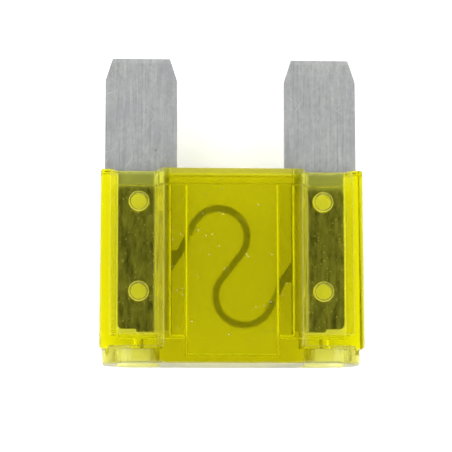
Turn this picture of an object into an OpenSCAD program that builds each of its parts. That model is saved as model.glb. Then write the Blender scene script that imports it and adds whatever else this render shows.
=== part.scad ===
// Large automotive blade fuse lying on its back, with the two blades pointing along +Y.
// One clear moulding holds one stamped metal element: two blades joined by an S-shaped fuse link.
// Millimetres. Origin under the middle of the fuse, in the plane it lies on; +X from blade to blade,
// +Z out of the front. Each part is drawn standing on its head, Z towards the tips, then laid down.

/* [Housing] */
// Width across the two end rails where they are widest, just above the head
body_w = 29.1; // [27:0.1:36]
// Width lost on each side between the head and the mouth, so that the moulding leaves its tool
body_draft = 0.1; // [0:0.05:0.5]
// Height from the head's end face to the mouth, where the blades come out
body_h = 21.4; // [17:0.1:26]
// Thickness through the two end rails
rail_d = 5.6; // [4:0.1:7]
// Width of each end rail at its outer face
rail_w = 1.15; // [0.8:0.05:2]
// Thickness through the walls that close over the blades
web_d = 2.8; // [2.4:0.1:3.6]
// Height of the sills under the windows, above the head
sill_h = 1.4; // [0.4:0.1:3]
// Radius of the moulding's long outer edges
edge_r = 0.25; // [0.05:0.05:0.4]

/* [Head] */
// Width of the head
head_w = 28.5; // [26:0.1:36]
// Thickness of the head
head_d = 8.9; // [7.5:0.1:11]
// Height of the head
head_h = 1.9; // [1.5:0.1:3]
// Radius of the head's corners in plan
head_corner = 3.9; // [2:0.1:4.2]
// Chamfer round the head's end face
head_chamfer = 0.2; // [0:0.05:0.5]

/* [Centre block] */
// Width of the block's flat front and back faces
block_face_w = 15.3; // [13:0.1:17]
// Width of the block where its flanks meet the webs
block_foot_w = 17.0; // [15:0.1:19]
// Bevel along the face's edge at the mouth
block_bevel = 0.3; // [0:0.05:0.6]

/* [Cavity] */
// Width of the chamber that the fuse link hangs in
chamber_w = 10.25; // [8:0.05:12]
// Depth of the chamber, front wall to back wall
chamber_d = 3.0; // [2:0.1:3.8]
// Radius of the chamber's long edges
chamber_r = 0.3; // [0.05:0.05:0.8]
// Thickness of the head's wall under the chamber
chamber_floor = 1.0; // [0.6:0.1:1.6]
// Width of the throat, the shallower room for the gussets on both sides of the chamber
throat_w = 13.8; // [11:0.1:14]
// Depth of the throat, front wall to back wall
throat_d = 1.8; // [1.2:0.1:2.4]
// Height of the throat's floor
throat_floor = 3.1; // [2:0.1:5]
// Depth of the wider lead-in below the mouth
lead_in_h = 1.5; // [0.5:0.1:2.5]
// How much wider than the slot or chamber the lead-in is, on each face
lead_in_step = 0.2; // [0.1:0.05:0.4]
// Clearance between the element and the slot, on each face and at the ends
slot_gap = 0.05; // [0.03:0.01:0.1]
// Gap between the slot's floor and the element's inner ends
slot_end_gap = 0.85; // [0.2:0.05:1.2]

/* [Stakes] */
// Diameter of the stakes that fill the holes in the roots
stake_d = 2.2; // [1.6:0.1:2.6]
// Diameter of the punch marks over them in the webs
mark_d = 1.9; // [1.4:0.1:2.6]
// Depth of the punch marks
mark_depth = 0.15; // [0.05:0.05:0.7]
// Radial gap between a stake and the hole it fills
stake_gap = 0.05; // [0.03:0.01:0.2]
// Distance of the stakes from the middle of the fuse
stake_x = 10.25; // [9.6:0.05:11]
// Height of the stakes near the head
stake_z_low = 8.1; // [6:0.1:10]
// Distance between the stakes on one blade
stake_pitch = 10.0; // [6:0.1:11]

/* [Test pockets] */
// Width of the test pocket in the head, in line with each blade
pocket_w = 4.6; // [2:0.1:5]
// Width of a test pocket through the fuse's thickness
pocket_d = 7.0; // [1:0.1:7.5]
// Radius of a test pocket's corners
pocket_r = 1.5; // [0.2:0.1:2.2]
// Distance of the test pockets from the middle of the fuse
pocket_x = 10.25; // [9.5:0.05:11]
// Thickness of moulding left between a pocket and the top of the head
pocket_roof = 0.3; // [0.1:0.05:1]
// Diameter of the hole from a pocket to the blade's inner end
probe_d = 1.1; // [0.8:0.1:1.5]

/* [Blades] */
// Width of each blade
blade_w = 8.0; // [6.3:0.1:9]
// Thickness of the stamped sheet
blade_t = 0.8; // [0.6:0.05:0.9]
// Distance between the blades' centre lines
blade_pitch = 20.0; // [19:0.1:21]
// Length of the blades outside the housing
blade_len = 12.9; // [9:0.1:18]
// How much each corner of a tip narrows
tip_in = 0.8; // [0.3:0.05:1.5]
// How far down each blade that taper runs
tip_down = 2.5; // [1:0.1:4]
// Lead-in bevel on both faces of a tip, across the sheet
tip_coin = 0.06; // [0.02:0.01:0.25]
// Height of the coined bevel
tip_coin_h = 0.5; // [0.2:0.1:1.5]

/* [Blade roots inside the housing] */
// Width of each root, inside the slot
root_w = 5.6; // [4.6:0.1:5.8]
// Distance of a root's outer edge from the blade's outer edge
root_inset = 1.4; // [1:0.05:1.6]
// Height of a root's inner end, on the side towards the fuse link
root_z = 3.65; // [3:0.05:5]
// Step up to the root's end on the outer side
root_step = 0.35; // [0.1:0.05:0.8]
// Distance of that step from the root's outer edge
root_step_x = 2.1; // [1.4:0.1:3]
// Radius of the root's outer corner
root_corner = 0.6; // [0.2:0.05:1]

/* [Fuse link] */
// Width of the link
link_w = 0.72; // [0.4:0.02:1.2]
// Thickness of the link, thinner than the blades
link_t = 0.5; // [0.3:0.05:0.6]
// Centre-line radius of the link's two loops
loop_r = 3.15; // [2.6:0.05:3.3]
// Sideways distance of each loop's centre from the middle
loop_x = 1.4; // [1:0.05:1.6]
// Height of each loop's centre above or below the middle
loop_z = 3.32; // [3.3:0.02:3.8]
// Height of the link's middle
link_z = 10.85; // [10:0.05:12]
// Angle of the outer limbs above the horizontal
limb_angle = 65; // [55:1:72]
// Length of the outer limbs
limb_len = 3.9; // [2.5:0.1:4.2]
// Height of the gusset where a limb meets its root
gusset_h = 3.5; // [2:0.1:5]
// How far a gusset's flat edge stands above the limb's foot
gusset_rise = 0.6; // [0.4:0.1:1.5]
// Radius between a gusset and its limb
gusset_r = 0.5; // [0.3:0.1:1.2]

/* [Hidden] */
$fn = 96;
cut = 1;                                     // how far a cutting shape runs past the face it opens
cavity_top = body_h - lead_in_h;             // floor of the lead-in
slot_t = blade_t + 2 * slot_gap;
stake_hole_d = stake_d + 2 * stake_gap;      // hole in the root
root_outer = blade_pitch / 2 + blade_w / 2 - root_inset;
root_inner = root_outer - root_w;
slot_floor = root_z - slot_end_gap;
body_half = body_w / 2;
end_half = body_half - body_draft;           // half width at the mouth
rail_foot = root_outer + slot_gap;           // where a rail meets the web
rail_face = body_half - rail_w;              // inner edge of a rail's face
rail_end = 0.3;                              // bevel under the rails, at the head
mouth_end = 0.12;                            // bevel on the rails at the mouth
stake_heights = [stake_z_low, stake_z_low + stake_pitch];
loop_centre = [-loop_x, loop_z];             // upper loop, from the link's middle

function heading(a) = [cos(a), sin(a)];
function unit(v) = v / norm(v);

// An outline's corners, each [x, y, radius], with every corner rounded by its radius
function rounded(corners, steps = 5) = [
    for (i = [0:len(corners) - 1])
        let (
            n = len(corners), r = corners[i][2], p = [corners[i][0], corners[i][1]],
            back = unit([for (k = [0, 1]) corners[(i + n - 1) % n][k] - p[k]]),
            on = unit([for (k = [0, 1]) corners[(i + 1) % n][k] - p[k]]),
            half = acos(back * on) / 2,
            centre = p + unit(back + on) * r / sin(half),
            first = p + back * r / tan(half) - centre,
            last = p + on * r / tan(half) - centre,
            from = atan2(first[1], first[0]),
            swing = (atan2(last[1], last[0]) - from + 540) % 360 - 180
        )
        each r > 0 ? [for (k = [0:steps]) centre + r * heading(from + swing * k / steps)] : [p]
];

// Four corners of a rectangle round the middle, all with one radius
function box_corners(w, d, r) =
    [for (c = [[1, 1], [-1, 1], [-1, -1], [1, -1]]) [c[0] * w / 2, c[1] * d / 2, r]];

// Lays the upright fuse on its back, with its middle over the origin
module laid_down() {
    translate([0, -(body_h + blade_len) / 2, head_d / 2]) rotate([-90, 0, 0]) children();
}

// Extrudes an outline drawn in X and Z through a thickness centred on the sheet's plane
module through(t) {
    rotate([90, 0, 0]) linear_extrude(t, center = true) children();
}

// Repeats a shape on both sides of the middle
module both_sides() {
    children();
    mirror([1, 0, 0]) children();
}

// Flat slab with rounded corners in plan and a chamfer round its lower face
module chamfered_slab(w, d, h, r, c) {
    for (x = [-1, 1], y = [-1, 1]) translate([x * (w / 2 - r), y * (d / 2 - r), 0]) {
        cylinder(c, r - c, r);
        translate([0, 0, c]) cylinder(h - c, r = r);
    }
    side = [[-1, h], [-1, c], [-1, 0], [1, 0], [1, c], [1, h]];
    through(d - 2 * r) polygon([for (p = side) [p[0] * (w / 2 - (p[1] == 0 ? c : 0)), p[1]]]);
    rotate([0, 0, 90]) through(w - 2 * r)
        polygon([for (p = side) [p[0] * (d / 2 - (p[1] == 0 ? c : 0)), p[1]]]);
}

// Centre block: raised front and back faces, on flanks that fall to the webs
module centre_block() {
    face_y = head_d / 2;
    plan = [
        for (c = box_corners(2, 2, edge_r))
            let (face = [c[0] * block_face_w / 2, c[1] * face_y, edge_r],
                 foot = [c[0] * block_foot_w / 2, c[1] * web_d / 2, 0])
            each c[0] * c[1] > 0 ? [foot, face] : [face, foot]
    ];
    end_view = [
        [-face_y, 0], [face_y, 0], [face_y, body_h - 2 * block_bevel],
        [face_y - block_bevel, body_h], [block_bevel - face_y, body_h], [-face_y, body_h - 2 * block_bevel]
    ];
    intersection() {
        linear_extrude(body_h) polygon(rounded(plan));
        rotate([90, 0, 90]) linear_extrude(block_foot_w + cut, center = true) polygon(end_view);
    }
}

// One end rail: tapered towards the mouth, bevelled at its ends and rounded down its corners
module end_rail() {
    low = head_h - rail_end;
    front_view = [
        [rail_foot, low], [body_half - rail_end, low], [body_half, low + rail_end],
        [end_half, body_h - mouth_end], [end_half - mouth_end, body_h], [rail_foot, body_h]
    ];
    y = rail_d / 2;
    plan = [
        [rail_foot, web_d / 2, 0], [rail_face - edge_r, y - edge_r, edge_r], [rail_face, y, 0],
        [body_half, y, edge_r], [body_half, -y, edge_r],
        [rail_face, -y, 0], [rail_face - edge_r, edge_r - y, edge_r], [rail_foot, -web_d / 2, 0]
    ];
    intersection() {
        through(rail_d) polygon(front_view);
        translate([0, 0, low]) linear_extrude(body_h) polygon(rounded(plan));
    }
}

// Thin wall over the blade roots, from the centre block out to the rails
module web() {
    translate([-rail_foot, -web_d / 2, head_h - cut]) cube([2 * rail_foot, web_d, body_h - head_h + cut]);
}

// Bar between the rails, as thick as they are, that stiffens the foot of the web
module sill() {
    half = (rail_face + body_half - edge_r) / 2;
    translate([-half, -rail_d / 2, head_h - cut]) cube([2 * half, rail_d, sill_h + cut]);
}

// Everything that the housing leaves open for the element
module cavity() {
    inside_w = 2 * (root_outer + slot_gap);
    translate([-inside_w / 2, -slot_t / 2, slot_floor]) cube([inside_w, slot_t, body_h]);
    translate([0, 0, chamber_floor]) linear_extrude(cavity_top - chamber_floor)
        polygon(rounded(box_corners(chamber_w, chamber_d, chamber_r)));
    translate([0, 0, throat_floor]) linear_extrude(cavity_top - throat_floor)
        polygon(rounded(box_corners(throat_w, throat_d, chamber_r)));
    translate([-inside_w / 2, -slot_t / 2 - lead_in_step, cavity_top])
        cube([inside_w, slot_t + 2 * lead_in_step, lead_in_h + cut]);
    translate([-throat_w / 2, -chamber_d / 2 - lead_in_step, cavity_top])
        cube([throat_w, chamber_d + 2 * lead_in_step, lead_in_h + cut]);
}

// Pocket in the head, with a probe hole on to the root's inner end
module test_pocket() {
    translate([pocket_x, 0, -cut]) linear_extrude(head_h - pocket_roof + cut)
        polygon(rounded(box_corners(pocket_w, pocket_d, pocket_r)));
    translate([pocket_x, 0, -cut]) cylinder(slot_floor + 2 * cut, d = probe_d);
}

// Moulding pressed through the holes in the roots, between the punch marks of the two webs
module stake_plugs() {
    for (z = stake_heights) translate([stake_x, 0, z]) rotate([90, 0, 0])
        cylinder(web_d - 2 * mark_depth, d = stake_d, center = true);
}

// Punch marks in both webs
module stake_marks() {
    for (z = stake_heights, sy = [-1, 1])
        translate([stake_x, sy * web_d / 2, z]) rotate([90, 0, 0])
            cylinder(2 * mark_depth, d = mark_d, center = true);
}

module housing() {
    color([0.93, 0.88, 0.08, 0.6]) laid_down() {
        difference() {
            union() {
                chamfered_slab(head_w, head_d, head_h, head_corner, head_chamfer);
                centre_block();
                web();
                sill();
                both_sides() end_rail();
            }
            cavity();
            both_sides() {
                stake_marks();
                test_pocket();
            }
        }
        both_sides() stake_plugs();
    }
}

// Outline of one exposed blade, its tip narrowed at both corners
module blade_outline() {
    top = body_h + blade_len;
    translate([blade_pitch / 2, 0]) polygon([
        [-blade_w / 2, body_h], [blade_w / 2, body_h], [blade_w / 2, top - tip_down],
        [blade_w / 2 - tip_in, top], [tip_in - blade_w / 2, top], [-blade_w / 2, top - tip_down]
    ]);
}

// Outline of one root, stepped at its inner end and pierced for the stakes
module root_outline() {
    outer_z = root_z + root_step;
    step_x = root_outer - root_step_x;
    difference() {
        union() {
            polygon([
                [root_inner, root_z], [step_x, root_z], [step_x, outer_z],
                [root_outer - root_corner, outer_z], [root_outer, outer_z + root_corner],
                [root_outer, body_h + blade_t], [root_inner, body_h + blade_t]
            ]);
            translate([root_outer - root_corner, outer_z + root_corner]) circle(root_corner);
        }
        for (z = stake_heights) translate([stake_x, z]) circle(d = stake_hole_d);
    }
}

// Outline of the link round its own middle: one side of the strip, then the same side turned
// half round. It runs from the left limb's foot over the upper loop, down the middle, which is
// tangent to both loops, round the lower loop and up to the right limb's foot.
module link_outline() {
    outer = loop_r + link_w / 2;
    inner = loop_r - link_w / 2;
    reach = norm(loop_centre);
    middle_angle = atan2(loop_centre[1], loop_centre[0]) - asin(loop_r / reach);
    first = limb_angle + 90;
    last = middle_angle - 90;
    steps = 40;
    turn = [for (i = [0:steps]) first + (last - first) * i / steps];
    side = [
        loop_centre + outer * heading(first) - limb_len * heading(limb_angle),
        for (a = turn) loop_centre + outer * heading(a),
        for (i = [steps:-1:0]) -loop_centre - inner * heading(turn[i]),
        -loop_centre - inner * heading(first) + limb_len * heading(limb_angle)
    ];
    polygon([for (p = side) p, for (p = side) -p]);
}

// Gusset that spreads the left limb's foot onto the left root, in the link's own frame
module gusset_outline() {
    foot = loop_centre + loop_r * heading(limb_angle + 90) - limb_len * heading(limb_angle);
    crest = foot[1] + gusset_rise;
    edge = foot + (link_w / 2 - 0.05) * heading(limb_angle + 90);
    notch = edge + (crest - edge[1]) / sin(limb_angle) * heading(limb_angle);
    top = notch + 2 * gusset_r * heading(limb_angle);
    low = foot + link_w / 2 * heading(limb_angle - 90) + 0.5 * heading(limb_angle);
    polygon(rounded([
        [-root_inner - blade_t / 2, crest, 0], [notch[0], notch[1], gusset_r], [top[0], top[1], 0],
        [low[0], low[1], 0], [-root_inner - blade_t / 2, crest - gusset_h, 0]
    ]));
}

module fuse_element() {
    top = body_h + blade_len;
    color([0.72, 0.73, 0.72]) laid_down() {
        intersection() {
            through(blade_t) both_sides() {
                blade_outline();
                root_outline();
            }
            rotate([90, 0, 90]) linear_extrude(2 * body_w, center = true) polygon([
                [-blade_t / 2, 0], [blade_t / 2, 0], [blade_t / 2, top - tip_coin_h],
                [blade_t / 2 - tip_coin, top], [tip_coin - blade_t / 2, top], [-blade_t / 2, top - tip_coin_h]
            ]);
        }
        translate([0, 0, link_z]) through(link_t) {
            link_outline();
            for (turn = [0, 180]) rotate(turn) gusset_outline();
        }
    }
}

housing();
fuse_element();
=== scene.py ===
import math

import bpy
from mathutils import Matrix, Quaternion, Vector


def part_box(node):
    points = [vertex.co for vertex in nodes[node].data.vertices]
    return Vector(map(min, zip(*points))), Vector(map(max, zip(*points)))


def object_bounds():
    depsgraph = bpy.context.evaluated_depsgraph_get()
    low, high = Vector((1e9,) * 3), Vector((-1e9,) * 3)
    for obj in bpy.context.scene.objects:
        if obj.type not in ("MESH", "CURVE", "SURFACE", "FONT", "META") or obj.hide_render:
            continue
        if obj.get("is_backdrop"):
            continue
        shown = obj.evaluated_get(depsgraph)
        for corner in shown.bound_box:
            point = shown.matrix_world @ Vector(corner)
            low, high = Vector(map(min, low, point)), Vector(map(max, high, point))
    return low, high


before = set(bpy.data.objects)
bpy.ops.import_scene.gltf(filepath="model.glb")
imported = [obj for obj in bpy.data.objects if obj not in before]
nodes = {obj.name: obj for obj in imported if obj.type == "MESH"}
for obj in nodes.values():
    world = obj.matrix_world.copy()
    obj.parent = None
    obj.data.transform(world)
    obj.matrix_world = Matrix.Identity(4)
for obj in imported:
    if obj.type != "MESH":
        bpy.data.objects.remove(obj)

cad_lo, cad_hi = (Vector(v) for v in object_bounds())
housing_lo, housing_hi = (Vector(v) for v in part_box("housing"))
sheet_lo, sheet_hi = (Vector(v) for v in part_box("fuse_element"))
scene = bpy.context.scene

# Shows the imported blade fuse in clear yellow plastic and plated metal, on a white floor in a light
# tent. Lengths are metres, and colours are linear red, green and blue with an alpha of 1. The fuse
# lies on its back: x runs from blade to blade with 0 midway, y towards the tips and z out of the
# front.

WHITE = (1.0, 1.0, 1.0, 1.0)

# --- places that the materials need: along y from the frame, and across from the fuse's middle

HEAD_END = housing_lo.y
MOUTH = housing_hi.y
MID_Z = (sheet_lo.z + sheet_hi.z) / 2
CHAMBER_FLOOR = HEAD_END + 0.0010
LEAD_IN = HEAD_END + 0.0199
CHAMBER_HALF_W = 0.005125
CHAMBER_HALF_D = 0.0015
THROAT_HALF_W = 0.0069
BLOCK_HALF_W = 0.00765
POCKET_TOP = HEAD_END + 0.0016
POCKET_X = 0.01025
POCKET_HALF_W = 0.0023
POCKET_HALF_D = 0.0035
MARK_X = 0.01025
MARK_LOW = HEAD_END + 0.0081
MARK_HIGH = HEAD_END + 0.0181
MARK_R = 0.00095

# --- noise patterns: cells per metre along x, y and z, then detail and roughness

GRAIN = ((2500.0, 2500.0, 2500.0), 2.0, 0.5)
MOTTLE = ((900.0, 900.0, 900.0), 2.0, 0.5)
DUST_PATCHES = ((230.0, 230.0, 230.0), 2.0, 0.5)
FLOW = ((260.0, 170.0, 260.0), 2.0, 0.5)
CLOUD = ((330.0, 210.0, 330.0), 5.0, 0.65)
SPECKLE = ((2200.0, 1700.0, 2200.0), 4.0, 0.7)
ROLLING = ((9000.0, 160.0, 9000.0), 4.0, 0.7)
STREAKS = ((1700.0, 420.0, 1700.0), 6.0, 0.8)
BRUSHING = ((9000.0, 260.0, 9000.0), 3.0, 0.6)
# Spans of a pattern's values: nearly all of them, and what the mottle, the dust and the breaks in
# the scratches use
USUAL_SPAN = (0.3, 0.7)
MOTTLE_SPAN = (0.35, 0.75)
PATCH_SPAN = (0.50, 0.56)
BROKEN_SPAN = (0.42, 0.60)

# --- housing's plastic

PLASTIC_IOR = 1.58
# The plastic absorbs blue strongly, and red and green only a little
PLASTIC_PASSES = (0.977, 0.971, 0.0, 1.0)
PLASTIC_DENSITY = 1250.0
# Radius that the shading gives to the moulding's edges
EDGE_R = 0.00028
# How far past a wall its frosting reaches, which is also the width over which it fades
FROST_REACH = 0.00003
END_FACE_REACH = 0.00006
# Roughness of the polished outside and of the frosted places, each from and to
POLISHED = (0.10, 0.16)
CHAMBER_FROST = (0.29, 0.33)
POCKET_FROST = (0.34, 0.44)
END_FACE_FROST = (0.30, 0.40)
# Share of plain white in the test pockets, and in the dust, which lies on the front face only
POCKET_WHITE = 0.12
DUST_WHITE = 0.20
DUST_REACH = 0.0001
# Raised rim round each punch mark, on the outside only: it fades in over the depths, which are
# distances from the sheet's plane
RIM_W = 0.00008
RIM_FADE = 0.00009
RIM_H = 0.00004
RIM_DEPTHS = (0.0009, 0.0011)
# Slow ripple in the moulding's surface
FLOW_H = 0.00003
FLOW_STRENGTH = 0.25

# --- element's metal

PLATING_COOL = (0.53, 0.56, 0.575, 1.0)
PLATING_WARM = (0.73, 0.735, 0.70, 1.0)
SPECKLE_GREY = (0.49, 0.50, 0.50, 1.0)
ROLLED_GREY = (0.70, 0.71, 0.71, 1.0)
SCRATCH_PALE = (0.86, 0.87, 0.87, 1.0)
NICK_DARK = (0.22, 0.22, 0.22, 1.0)
NICK_STRENGTH = 0.5
# Each set of scratches: its turn in radians, and the share of cells that hold one
SCRATCHES = ((0.55, 0.07), (-0.9, 0.05), (1.2, 0.03))
SCRATCH_STRENGTH = 0.45
# Inside the housing the plating is painted darker, as painted shade, with painted light in pale
# bands beside the throat and at the mouth, and painted glints
STREAK_DARK = (0.13, 0.14, 0.13, 1.0)
STREAK_PALE = (0.56, 0.57, 0.55, 1.0)
CLOUD_GREY = (0.60, 0.60, 0.60, 1.0)
LINK_GREY = (0.47, 0.47, 0.47, 1.0)
# Painted glints: pale flecks on the metal inside the housing
GLINT_PALE = (0.90, 0.90, 0.90, 1.0)
GLINT_STRENGTH = 0.8
# Painted light on the metal in a band beside the throat
BAND_PAINTED_LIGHT = (0.92, 0.91, 0.92, 1.0)
# Painted light on the metal inside the mouth, at the lead-in
MOUTH_PAINTED_LIGHT = (0.80, 0.85, 0.85, 1.0)
# Widths over which one colour changes into the next, and how far the painted light at the mouth
# wanders either way
LINK_FADE = 0.0003
BAND_FADE = 0.0001
MOUTH_FADE = 0.0008
MOUTH_WANDER = 0.001
BLADE_FADE = 0.0002
METAL_ROUGHNESS = (0.40, 0.50)
BRUSHING_H = 0.000002
BRUSHING_STRENGTH = 0.4

# --- studio

FLOOR_SIZE = 1.2
FLOOR_GAP = 0.0001
FLOOR_WHITE = (0.92, 0.92, 0.92, 1.0)
FLOOR_ROUGHNESS = 0.8
FLOOR_GLOW = 0.34
# Direction of the tent's dark opening, which the front faces mirror into the camera
OPENING = (0.02, 0.12, 0.992)
# The tent's light: pairs of the cosine of the angle from the opening, and the level there
TENT = ((0.0, 0.9), (0.2, 1.2), (0.45, 1.6), (0.86, 1.5), (0.975, 0.03))
# How strong the tent is on the side of the head's end face, and on the side of the tips
TENT_LEAN = (1.5, 0.5)
KEY_PLACE = (-0.45, 0.30, 0.40)
KEY_TARGET = (0.0, 0.0, 0.004)
KEY_SIZE = 0.30
KEY_WATTS = 0.6
CAMERA_PLACE = (-0.01536, -0.03231, 0.2376)
CAMERA_TARGET = (-0.00052, -0.00163, MID_Z)
# Lens and sensor in millimetres, roll in degrees
CAMERA_LENS = 168.56
CAMERA_SENSOR = 36.0
CAMERA_ROLL = -0.107
CAMERA_NEAR = 0.005


# --- material helpers

class Tree:
    """A material's node tree, with short calls for the nodes used here."""

    def __init__(self, name):
        self.material = bpy.data.materials.new(name)
        self.material.use_nodes = True
        self.nodes = self.material.node_tree.nodes
        self.links = self.material.node_tree.links
        self.nodes.clear()
        self.output = self.node("OutputMaterial")
        self.surface = self.node("BsdfPrincipled")
        self.feed(self.output.inputs["Surface"], self.surface.outputs[0])
        self.coords = self.node("TexCoord").outputs["Object"]

    def node(self, kind, **settings):
        """A new shader node of a kind, with its settings."""
        node = self.nodes.new("ShaderNode" + kind)
        for setting, value in settings.items():
            setattr(node, setting, value)
        return node

    def feed(self, socket, value):
        """Links another node's output to a socket, or sets the socket's own value."""
        if isinstance(value, bpy.types.NodeSocket):
            self.links.new(value, socket)
        else:
            socket.default_value = value

    def math(self, operation, *values):
        node = self.node("Math", operation=operation)
        for socket, value in zip(node.inputs, values):
            self.feed(socket, value)
        return node.outputs[0]

    def product(self, *values):
        result = values[0]
        for value in values[1:]:
            result = self.math("MULTIPLY", result, value)
        return result

    def away(self, value, place):
        """How far a coordinate lies from a place, to either side."""
        return self.math("ABSOLUTE", self.math("SUBTRACT", value, place))

    def axes(self):
        """The three coordinates, with x as the distance from the middle of the fuse."""
        node = self.node("SeparateXYZ")
        self.feed(node.inputs[0], self.coords)
        return self.math("ABSOLUTE", node.outputs[0]), node.outputs[1], node.outputs[2]

    def scaled(self, scale, turn=0.0):
        """The coordinates turned about z, then scaled."""
        turned = self.node("Mapping")
        self.feed(turned.inputs["Vector"], self.coords)
        turned.inputs["Rotation"].default_value = (0.0, 0.0, turn)
        node = self.node("Mapping")
        self.feed(node.inputs["Vector"], turned.outputs[0])
        node.inputs["Scale"].default_value = scale
        return node.outputs[0]

    def noise(self, scale, detail, roughness):
        node = self.node("TexNoise")
        self.feed(node.inputs["Vector"], self.scaled(scale))
        node.inputs["Scale"].default_value = 1.0
        node.inputs["Detail"].default_value = detail
        node.inputs["Roughness"].default_value = roughness
        return node.outputs["Fac"]

    def flecks(self, per_metre, size, share, turn=0.0, stretch=1.0):
        """1 on small scattered spots; share is the part of the cells that hold one."""
        node = self.node("TexVoronoi")
        scale = (per_metre, per_metre / stretch, per_metre)
        self.feed(node.inputs["Vector"], self.scaled(scale, turn))
        node.inputs["Scale"].default_value = 1.0
        spot = self.math("LESS_THAN", node.outputs["Distance"], size)
        pick = self.node("SeparateColor")
        self.feed(pick.inputs[0], node.outputs["Color"])
        return self.product(spot, self.math("LESS_THAN", pick.outputs[0], share))

    def spread(self, value, span, result=(0.0, 1.0), **settings):
        """Maps one span of values on to another, and holds what lies outside at its ends."""
        node = self.node("MapRange", **settings)
        self.feed(node.inputs["Value"], value)
        node.inputs["From Min"].default_value, node.inputs["From Max"].default_value = span
        node.inputs["To Min"].default_value, node.inputs["To Max"].default_value = result
        return node.outputs[0]

    def ramp(self, value, start, full):
        """Smooth step from 0 at start to 1 at full, which may be the smaller of the two."""
        return self.spread(value, (start, full), interpolation_type="SMOOTHSTEP")

    def between(self, value, low, high, edge):
        """1 from low to high, with edges that fall to 0 over a width."""
        return self.product(self.ramp(value, low - edge, low), self.ramp(value, high + edge, high))

    def within(self, value, reach, edge):
        """1 up to an edge's width past the reach, and 0 from twice that width past it."""
        return self.ramp(value, reach + 2 * edge, reach + edge)

    def mix(self, factor, under, over):
        """A number between two numbers."""
        node = self.node("Mix", data_type="FLOAT")
        for index, value in ((0, factor), (2, under), (3, over)):
            self.feed(node.inputs[index], value)
        return node.outputs[0]

    def blend(self, factor, under, over):
        """A colour between two colours."""
        node = self.node("Mix", data_type="RGBA")
        for index, value in ((0, factor), (6, under), (7, over)):
            self.feed(node.inputs[index], value)
        return node.outputs[2]

    def layer(self, under, over, pattern, start, full, strength=1.0):
        """Lays one colour over another where a pattern rises from start to full."""
        return self.blend(self.spread(pattern, (start, full), (0.0, strength)), under, over)

    def bump(self, height, distance, strength=1.0, under=None):
        """The surface's normal with a relief on it, over an earlier normal if one is given."""
        node = self.node("Bump")
        self.feed(node.inputs["Height"], height)
        node.inputs["Distance"].default_value = distance
        node.inputs["Strength"].default_value = strength
        if under is not None:
            self.feed(node.inputs["Normal"], under)
        return node.outputs[0]


# --- materials

def chamber_walls(tree, x, y, deep):
    """Mask of the walls round the fuse link."""
    return tree.product(
        tree.within(x, CHAMBER_HALF_W, FROST_REACH),
        tree.between(y, CHAMBER_FLOOR - FROST_REACH, LEAD_IN - FROST_REACH, FROST_REACH),
        tree.within(deep, CHAMBER_HALF_D, FROST_REACH),
    )


def test_pockets(tree, x, y, deep):
    """Mask of the two pockets in the head's end face."""
    return tree.product(
        tree.within(tree.away(x, POCKET_X), POCKET_HALF_W, FROST_REACH),
        tree.between(y, HEAD_END + FROST_REACH, POCKET_TOP + FROST_REACH, FROST_REACH),
        tree.within(deep, POCKET_HALF_D, FROST_REACH),
    )


def front_dust(tree, z):
    """Mask of small specks in patches on the front face."""
    return tree.product(
        tree.flecks(per_metre=1500.0, size=0.13, share=0.8),
        tree.spread(tree.noise(*DUST_PATCHES), PATCH_SPAN),
        tree.within(tree.away(z, housing_hi.z), 0.0, DUST_REACH),
    )


def moulded_relief(tree, x, y, deep):
    """The plastic's normal: soft edges, a rim round each punch mark and a slow ripple."""
    soft = tree.node("Bevel", samples=6)
    soft.inputs["Radius"].default_value = EDGE_R
    along = tree.math("MINIMUM", tree.away(y, MARK_LOW), tree.away(y, MARK_HIGH))
    across = tree.away(x, MARK_X)
    squares = tree.math("ADD", tree.product(along, along), tree.product(across, across))
    from_mark = tree.math("SQRT", squares)
    rim = tree.product(
        tree.between(from_mark, MARK_R, MARK_R + RIM_W, RIM_FADE),
        tree.ramp(deep, *RIM_DEPTHS),
    )
    rimmed = tree.bump(rim, RIM_H, under=soft.outputs[0])
    return tree.bump(tree.noise(*FLOW), FLOW_H, FLOW_STRENGTH, rimmed)


def clear_plastic():
    """Clear yellow: polished outside, and frosted in the chamber, the pockets and the end face."""
    tree = Tree("clear_yellow_plastic")
    surface = tree.surface
    surface.inputs["Base Color"].default_value = WHITE
    surface.inputs["IOR"].default_value = PLASTIC_IOR
    x, y, z = tree.axes()
    deep = tree.away(z, MID_Z)
    chamber = chamber_walls(tree, x, y, deep)
    pocket = test_pockets(tree, x, y, deep)
    end_face = tree.within(tree.away(y, HEAD_END), 0.0, END_FACE_REACH)
    frosted = ((chamber, CHAMBER_FROST), (pocket, POCKET_FROST), (end_face, END_FACE_FROST))

    grain = tree.noise(*GRAIN)
    rough = tree.spread(tree.noise(*MOTTLE), MOTTLE_SPAN, POLISHED)
    for mask, frost in frosted:
        rough = tree.mix(mask, rough, tree.spread(grain, USUAL_SPAN, frost))
    tree.feed(surface.inputs["Roughness"], rough)

    dusty = tree.product(front_dust(tree, z), DUST_WHITE)
    white = tree.math("MAXIMUM", dusty, tree.product(pocket, POCKET_WHITE))
    tree.feed(surface.inputs["Transmission Weight"], tree.math("SUBTRACT", 1.0, white))
    tree.feed(surface.inputs["Normal"], moulded_relief(tree, x, y, deep))

    inside = tree.node("VolumeAbsorption")
    inside.inputs["Color"].default_value = PLASTIC_PASSES
    inside.inputs["Density"].default_value = PLASTIC_DENSITY
    tree.feed(tree.output.inputs["Volume"], inside.outputs[0])
    return tree.material


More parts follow.
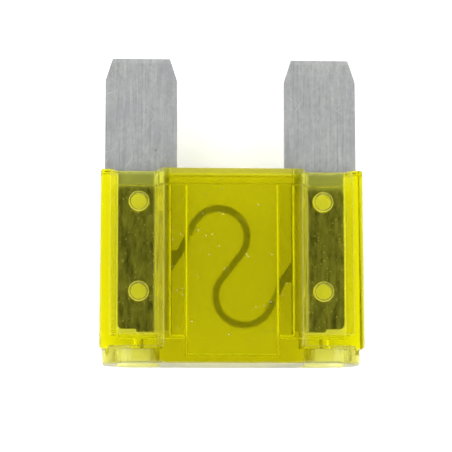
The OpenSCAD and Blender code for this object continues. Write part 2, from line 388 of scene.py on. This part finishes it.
def bright_plating(tree, cloud, speckle):
    """The blades' colour: cloudy and speckled, with rolling lines, scratches and nicks."""
    rolling = tree.noise(*ROLLING)
    colour = tree.layer(PLATING_COOL, PLATING_WARM, cloud, start=0.3, full=0.7)
    colour = tree.layer(colour, SPECKLE_GREY, speckle, start=0.38, full=0.62, strength=0.8)
    colour = tree.layer(colour, ROLLED_GREY, rolling, start=0.35, full=0.65, strength=0.45)
    broken = tree.spread(speckle, BROKEN_SPAN, (0.0, SCRATCH_STRENGTH))
    for turn, share in SCRATCHES:
        scratch = tree.flecks(per_metre=3600.0, size=0.30, share=share, turn=turn, stretch=10.0)
        colour = tree.blend(tree.product(scratch, broken), colour, SCRATCH_PALE)
    nick = tree.flecks(per_metre=700.0, size=0.08, share=0.04, turn=0.3, stretch=2.0)
    return tree.blend(tree.product(nick, NICK_STRENGTH), colour, NICK_DARK)


def shaded_plating(tree, cloud, x, y):
    """The colour inside the housing, painted darker as painted shade: streaked roots, an even grey
    link, painted glints, and painted light in pale bands beside the throat and at the mouth.
    """
    streaks = tree.noise(*STREAKS)
    colour = tree.layer(STREAK_DARK, STREAK_PALE, streaks, start=0.36, full=0.64)
    colour = tree.layer(colour, CLOUD_GREY, cloud, start=0.54, full=0.72, strength=0.5)
    link = tree.ramp(x, THROAT_HALF_W, THROAT_HALF_W - LINK_FADE)
    colour = tree.blend(link, colour, LINK_GREY)
    # Painted glints: pale flecks in the colour stand for small highlights
    glint = tree.flecks(per_metre=3000.0, size=0.26, share=0.22)
    colour = tree.blend(tree.product(glint, GLINT_STRENGTH), colour, GLINT_PALE)
    # Painted light: a pale band on the metal beside the throat
    band_light = tree.between(x, THROAT_HALF_W, BLOCK_HALF_W, BAND_FADE)
    colour = tree.blend(band_light, colour, BAND_PAINTED_LIGHT)
    # Painted light at the mouth, with a wandering edge
    wander = tree.spread(cloud, (0.0, 1.0), (-MOUTH_WANDER, MOUTH_WANDER))
    mouth_light = tree.ramp(tree.math("ADD", y, wander), LEAD_IN - MOUTH_FADE, LEAD_IN)
    return tree.blend(mouth_light, colour, MOUTH_PAINTED_LIGHT)


def plated_metal():
    """Zinc-plated sheet: bright on the blades, and painted darker inside the housing as painted
    shade.
    """
    tree = Tree("zinc_plated_metal")
    surface = tree.surface
    surface.inputs["Metallic"].default_value = 1.0
    x, y, _ = tree.axes()
    cloud = tree.noise(*CLOUD)
    # Painted shade: the plating inside the housing is painted darker than on the blades
    shaded = shaded_plating(tree, cloud, x, y)
    bright = bright_plating(tree, cloud, tree.noise(*SPECKLE))
    outside = tree.ramp(y, MOUTH - BLADE_FADE, MOUTH)
    tree.feed(surface.inputs["Base Color"], tree.blend(outside, shaded, bright))
    brushing = tree.noise(*BRUSHING)
    tree.feed(surface.inputs["Roughness"], tree.spread(brushing, USUAL_SPAN, METAL_ROUGHNESS))
    tree.feed(surface.inputs["Normal"], tree.bump(brushing, BRUSHING_H, BRUSHING_STRENGTH))
    return tree.material


def dress(node, material):
    """Puts a material in all of a CAD node's slots."""
    for slot in nodes[node].material_slots:
        slot.material = material


# --- floor, light and camera

def plain_floor():
    """A white floor just under the fuse, with a faint glow of its own."""
    bpy.ops.mesh.primitive_plane_add(size=FLOOR_SIZE, location=(0.0, 0.0, cad_lo.z - FLOOR_GAP))
    plane = bpy.context.object
    plane.name = "floor"
    tree = Tree("floor_white")
    surface = tree.surface
    surface.inputs["Base Color"].default_value = FLOOR_WHITE
    surface.inputs["Roughness"].default_value = FLOOR_ROUGHNESS
    surface.inputs["Emission Color"].default_value = WHITE
    surface.inputs["Emission Strength"].default_value = FLOOR_GLOW
    plane.data.materials.append(tree.material)
    return plane


def light_tent():
    """A world that is bright all round, and dark overhead where the tent is open."""
    world = bpy.data.worlds.new("light_tent")
    world.use_nodes = True
    sky = world.node_tree
    background = sky.nodes["Background"]
    ray = sky.nodes.new("ShaderNodeTexCoord").outputs["Generated"]

    cosine = sky.nodes.new("ShaderNodeVectorMath")
    cosine.operation = "DOT_PRODUCT"
    sky.links.new(ray, cosine.inputs[0])
    cosine.inputs[1].default_value = OPENING
    levels = sky.nodes.new("ShaderNodeValToRGB")
    levels.color_ramp.interpolation = "EASE"
    stops = levels.color_ramp.elements
    while len(stops) < len(TENT):
        stops.new(0.5)
    for stop, (place, level) in zip(stops, TENT):
        stop.position = place
        stop.color = (level, level, level, 1.0)
    sky.links.new(cosine.outputs["Value"], levels.inputs[0])
    sky.links.new(levels.outputs[0], background.inputs["Color"])

    parts = sky.nodes.new("ShaderNodeSeparateXYZ")
    sky.links.new(ray, parts.inputs[0])
    lean = sky.nodes.new("ShaderNodeMapRange")
    lean.inputs["From Min"].default_value = -1.0
    lean.inputs["From Max"].default_value = 1.0
    lean.inputs["To Min"].default_value, lean.inputs["To Max"].default_value = TENT_LEAN
    sky.links.new(parts.outputs["Y"], lean.inputs["Value"])
    sky.links.new(lean.outputs[0], background.inputs["Strength"])
    return world


def placed(name, data, place):
    """A lamp or camera, linked to the scene at its place and ready to be turned."""
    thing = bpy.data.objects.new(name, data)
    scene.collection.objects.link(thing)
    thing.location = place
    thing.rotation_mode = "QUATERNION"
    return thing


def key_softbox():
    """One weak square softbox, above the fuse, on its left and beyond the tips."""
    data = bpy.data.lights.new("key_softbox", "AREA")
    data.size = KEY_SIZE
    data.energy = KEY_WATTS
    lamp = placed("key_softbox", data, KEY_PLACE)
    lamp.rotation_quaternion = (Vector(KEY_TARGET) - lamp.location).to_track_quat("-Z", "Y")


def photo_camera():
    """The camera at the photograph's angle, with the blades pointing up in the picture."""
    data = bpy.data.cameras.new("camera")
    data.sensor_width = CAMERA_SENSOR
    data.lens = CAMERA_LENS
    data.clip_start = CAMERA_NEAR
    camera = placed("camera", data, CAMERA_PLACE)
    ahead = (Vector(CAMERA_TARGET) - camera.location).normalized()
    right = ahead.cross(Vector((0.0, 1.0, 0.0))).normalized()
    level = Matrix((right, right.cross(ahead), -ahead)).transposed().to_quaternion()
    roll = Quaternion((0.0, 0.0, 1.0), math.radians(CAMERA_ROLL))
    camera.rotation_quaternion = level @ roll
    return camera


dress("housing", clear_plastic())
dress("fuse_element", plated_metal())

floor = plain_floor()
floor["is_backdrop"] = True

scene.world = light_tent()
key_softbox()
scene.camera = photo_camera()
scene.view_settings.view_transform = "Standard"
scene.view_settings.look = "None"
